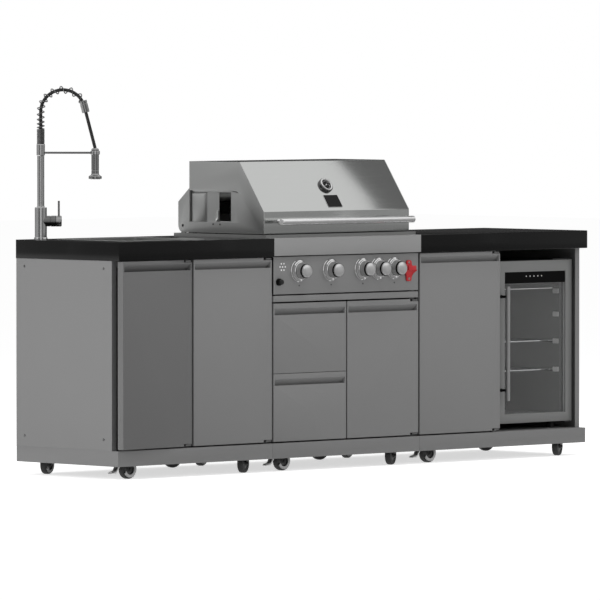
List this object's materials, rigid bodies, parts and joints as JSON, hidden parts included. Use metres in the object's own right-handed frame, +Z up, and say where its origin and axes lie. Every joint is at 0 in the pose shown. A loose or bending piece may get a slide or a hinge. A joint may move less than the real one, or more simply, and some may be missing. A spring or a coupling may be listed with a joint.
{
  "type": "outdoor kitchen island",
  "caption": "Outdoor kitchen island on casters with a sink and spring tap, a hooded gas grill, drawers and a glass-door fridge.",
  "frame": {"origin": "on the floor under the middle of the island's outer box", "axes": "+X along the front to the right as seen from the front, +Y to the back, +Z up"},
  "size_m": [2.568, 0.625, 1.4886],
  "materials": {
    "dark_metal": "satin powder coat",
    "grey_metal": "satin grey powder coat",
    "worktop": "polished near-black",
    "steel": "fine brushed",
    "chrome": "polished",
    "iron": "black enamel",
    "rubber": "matt",
    "wheel_rubber": "matt",
    "red_metal": "gloss red",
    "zinc": "zinc plated",
    "glass": "clear",
    "dark_plastic": "matt"
  },
  "bodies": {
    "island": {"base_plinth": "grey_metal", "cabinet_shells": "grey_metal", "countertops": "worktop", "sink": "steel", "tap_body": "chrome", "firebox": "steel", "control_panel": "grey_metal", "gas_burners": "steel", "cooking_grates": "iron", "bottle_opener": "red_metal", "fixings": "zinc", "fridge_cabinet": "dark_metal", "fridge_shelves": "chrome"},
    "hood": {"hood": "steel", "hood_handle": "chrome", "temperature_gauge": "chrome"},
    "spout": {"tap_column": "chrome", "tap_hose": "rubber", "tap_spring": "chrome"},
    "spray": {"spray_head": "chrome"},
    "lever": {"tap_lever": "chrome"},
    "fridge_leaf": {"fridge_door": "steel", "fridge_glass": "glass"},
    "igniter": {"igniter_button": "dark_plastic"},
    "tray": {"drip_tray": "grey_metal"},
    "drawer_low": {"lower_drawer": "grey_metal"},
    "drawer_high": {"upper_drawer": "grey_metal"},
    "door_1": {"door_1": "grey_metal"},
    "door_2": {"door_2": "grey_metal"},
    "door_3": {"door_3": "grey_metal"},
    "door_4": {"door_4": "grey_metal"},
    "knob_1": {"knob_1": "chrome"},
    "knob_2": {"knob_2": "chrome"},
    "knob_3": {"knob_3": "chrome"},
    "knob_4": {"knob_4": "chrome"},
    "knob_5": {"knob_5": "chrome"},
    "caster_1": {"caster_1_fork": "zinc"},
    "wheel_1": {"caster_1_wheel": "wheel_rubber"},
    "caster_2": {"caster_2_fork": "zinc"},
    "wheel_2": {"caster_2_wheel": "wheel_rubber"},
    "caster_3": {"caster_3_fork": "zinc"},
    "wheel_3": {"caster_3_wheel": "wheel_rubber"},
    "caster_4": {"caster_4_fork": "zinc"},
    "wheel_4": {"caster_4_wheel": "wheel_rubber"},
    "caster_5": {"caster_5_fork": "zinc"},
    "wheel_5": {"caster_5_wheel": "wheel_rubber"},
    "caster_6": {"caster_6_fork": "zinc"},
    "wheel_6": {"caster_6_wheel": "wheel_rubber"},
    "caster_7": {"caster_7_fork": "zinc"},
    "wheel_7": {"caster_7_wheel": "wheel_rubber"},
    "caster_8": {"caster_8_fork": "zinc"},
    "wheel_8": {"caster_8_wheel": "wheel_rubber"},
    "caster_9": {"caster_9_fork": "zinc"},
    "wheel_9": {"caster_9_wheel": "wheel_rubber"},
    "caster_10": {"caster_10_fork": "zinc"},
    "wheel_10": {"caster_10_wheel": "wheel_rubber"},
    "caster_11": {"caster_11_fork": "zinc"},
    "wheel_11": {"caster_11_wheel": "wheel_rubber"},
    "caster_12": {"caster_12_fork": "zinc"},
    "wheel_12": {"caster_12_wheel": "wheel_rubber"}
  },
  "joints": [
    {"name": "door_1_hinge", "type": "hinge", "parent": "island", "child": "door_1", "pos_m": [-0.902, -0.2405, 0.4], "axis": [0, 0, 1], "range_deg": [-4, 86]},
    {"name": "door_2_hinge", "type": "hinge", "parent": "island", "child": "door_2", "pos_m": [-0.476, -0.2405, 0.4], "axis": [0, 0, 1], "range_deg": [0, 90]},
    {"name": "door_3_hinge", "type": "hinge", "parent": "island", "child": "door_3", "pos_m": [0.324, -0.2405, 0.4], "axis": [0, 0, 1], "range_deg": [0, 90]},
    {"name": "door_4_hinge", "type": "hinge", "parent": "island", "child": "door_4", "pos_m": [0.785, -0.2405, 0.4], "axis": [0, 0, 1], "range_deg": [0, 90]},
    {"name": "hood_hinge", "type": "hinge", "parent": "island", "child": "hood", "pos_m": [-0.067, 0.2475, 0.942], "axis": [-1, 0, 0], "range_deg": [0, 85]},
    {"name": "fridge_hinge", "type": "hinge", "parent": "island", "child": "fridge_leaf", "pos_m": [1.242, -0.1955, 0.461], "axis": [0, 0, 1], "range_deg": [0, 90]},
    {"name": "lower_drawer_slide", "type": "slide", "parent": "island", "child": "drawer_low", "axis": [0, -1, 0], "range_m": [0, 0.38]},
    {"name": "upper_drawer_slide", "type": "slide", "parent": "island", "child": "drawer_high", "axis": [0, -1, 0], "range_m": [0, 0.38]},
    {"name": "drip_tray_slide", "type": "slide", "parent": "island", "child": "tray", "axis": [0, -1, 0], "range_m": [0, 0.35]},
    {"name": "knob_1_turn", "type": "hinge", "parent": "island", "child": "knob_1", "pos_m": [-0.32375, -0.2545, 0.773], "axis": [0, -1, 0], "range_deg": [0, 140]},
    {"name": "knob_2_turn", "type": "hinge", "parent": "island", "child": "knob_2", "pos_m": [-0.15025, -0.2545, 0.773], "axis": [0, -1, 0], "range_deg": [0, 140]},
    {"name": "knob_3_turn", "type": "hinge", "parent": "island", "child": "knob_3", "pos_m": [0.02325, -0.2545, 0.773], "axis": [0, -1, 0], "range_deg": [0, 140]},
    {"name": "knob_4_turn", "type": "hinge", "parent": "island", "child": "knob_4", "pos_m": [0.19675, -0.2545, 0.773], "axis": [0, -1, 0], "range_deg": [0, 140]},
    {"name": "knob_5_turn", "type": "hinge", "parent": "island", "child": "knob_5", "pos_m": [0.11, -0.2545, 0.773], "axis": [0, -1, 0], "range_deg": [0, 140]},
    {"name": "igniter_push", "type": "slide", "parent": "island", "child": "igniter", "axis": [0, 1, 0], "range_m": [0, 0.006], "stiffness_N_per_m": 400, "springref_m": -0.003},
    {"name": "spout_swivel", "type": "hinge", "parent": "island", "child": "spout", "pos_m": [-1.197, 0.2655, 1.024], "axis": [0, 0, 1], "range_deg": [-120, 120]},
    {"name": "lever_turn", "type": "hinge", "parent": "island", "child": "lever", "pos_m": [-1.15556, 0.22492, 0.971], "axis": [0.7145, -0.6997, 0], "range_deg": [-30, 60]},
    {"name": "spray_head_turn", "type": "hinge", "parent": "spout", "child": "spray", "pos_m": [-1.04807, 0.11966, 1.25], "axis": [0, 0, 1], "continuous": true},
    {"name": "caster_1_swivel", "type": "hinge", "parent": "island", "child": "caster_1", "pos_m": [-1.197, -0.1935, 0.104], "axis": [0, 0, 1], "continuous": true},
    {"name": "caster_1_roll", "type": "hinge", "parent": "caster_1", "child": "wheel_1", "pos_m": [-1.173, -0.1935, 0.0375], "axis": [0, 1, 0], "continuous": true},
    {"name": "caster_2_swivel", "type": "hinge", "parent": "island", "child": "caster_2", "pos_m": [-0.551, -0.1935, 0.104], "axis": [0, 0, 1], "continuous": true},
    {"name": "caster_2_roll", "type": "hinge", "parent": "caster_2", "child": "wheel_2", "pos_m": [-0.57275, -0.20364, 0.0375], "axis": [0.4226, -0.9063, 0], "continuous": true},
    {"name": "caster_3_swivel", "type": "hinge", "parent": "island", "child": "caster_3", "pos_m": [-0.381, -0.1935, 0.104], "axis": [0, 0, 1], "continuous": true},
    {"name": "caster_3_roll", "type": "hinge", "parent": "caster_3", "child": "wheel_3", "pos_m": [-0.357, -0.1935, 0.0375], "axis": [0, 1, 0], "continuous": true},
    {"name": "caster_4_swivel", "type": "hinge", "parent": "island", "child": "caster_4", "pos_m": [0.252, -0.1935, 0.104], "axis": [0, 0, 1], "continuous": true},
    {"name": "caster_4_roll", "type": "hinge", "parent": "caster_4", "child": "wheel_4", "pos_m": [0.23025, -0.20364, 0.0375], "axis": [0.4226, -0.9063, 0], "continuous": true},
    {"name": "caster_5_swivel", "type": "hinge", "parent": "island", "child": "caster_5", "pos_m": [0.422, -0.1935, 0.104], "axis": [0, 0, 1], "continuous": true},
    {"name": "caster_5_roll", "type": "hinge", "parent": "caster_5", "child": "wheel_5", "pos_m": [0.446, -0.1935, 0.0375], "axis": [0, 1, 0], "continuous": true},
    {"name": "caster_6_swivel", "type": "hinge", "parent": "island", "child": "caster_6", "pos_m": [1.197, -0.1935, 0.104], "axis": [0, 0, 1], "continuous": true},
    {"name": "caster_6_roll", "type": "hinge", "parent": "caster_6", "child": "wheel_6", "pos_m": [1.17525, -0.20364, 0.0375], "axis": [0.4226, -0.9063, 0], "continuous": true},
    {"name": "caster_7_swivel", "type": "hinge", "parent": "island", "child": "caster_7", "pos_m": [-1.197, 0.2485, 0.104], "axis": [0, 0, 1], "continuous": true},
    {"name": "caster_7_roll", "type": "hinge", "parent": "caster_7", "child": "wheel_7", "pos_m": [-1.17445, 0.25671, 0.0375], "axis": [-0.342, 0.9397, 0], "continuous": true},
    {"name": "caster_8_swivel", "type": "hinge", "parent": "island", "child": "caster_8", "pos_m": [-0.551, 0.2485, 0.104], "axis": [0, 0, 1], "continuous": true},
    {"name": "caster_8_roll", "type": "hinge", "parent": "caster_8", "child": "wheel_8", "pos_m": [-0.52845, 0.24029, 0.0375], "axis": [0.342, 0.9397, 0], "continuous": true},
    {"name": "caster_9_swivel", "type": "hinge", "parent": "island", "child": "caster_9", "pos_m": [-0.381, 0.2485, 0.104], "axis": [0, 0, 1], "continuous": true},
    {"name": "caster_9_roll", "type": "hinge", "parent": "caster_9", "child": "wheel_9", "pos_m": [-0.35845, 0.25671, 0.0375], "axis": [-0.342, 0.9397, 0], "continuous": true},
    {"name": "caster_10_swivel", "type": "hinge", "parent": "island", "child": "caster_10", "pos_m": [0.252, 0.2485, 0.104], "axis": [0, 0, 1], "continuous": true},
    {"name": "caster_10_roll", "type": "hinge", "parent": "caster_10", "child": "wheel_10", "pos_m": [0.27455, 0.24029, 0.0375], "axis": [0.342, 0.9397, 0], "continuous": true},
    {"name": "caster_11_swivel", "type": "hinge", "parent": "island", "child": "caster_11", "pos_m": [0.422, 0.2485, 0.104], "axis": [0, 0, 1], "continuous": true},
    {"name": "caster_11_roll", "type": "hinge", "parent": "caster_11", "child": "wheel_11", "pos_m": [0.44455, 0.25671, 0.0375], "axis": [-0.342, 0.9397, 0], "continuous": true},
    {"name": "caster_12_swivel", "type": "hinge", "parent": "island", "child": "caster_12", "pos_m": [1.197, 0.2485, 0.104], "axis": [0, 0, 1], "continuous": true},
    {"name": "caster_12_roll", "type": "hinge", "parent": "caster_12", "child": "wheel_12", "pos_m": [1.21955, 0.24029, 0.0375], "axis": [0.342, 0.9397, 0], "continuous": true}
  ]
}
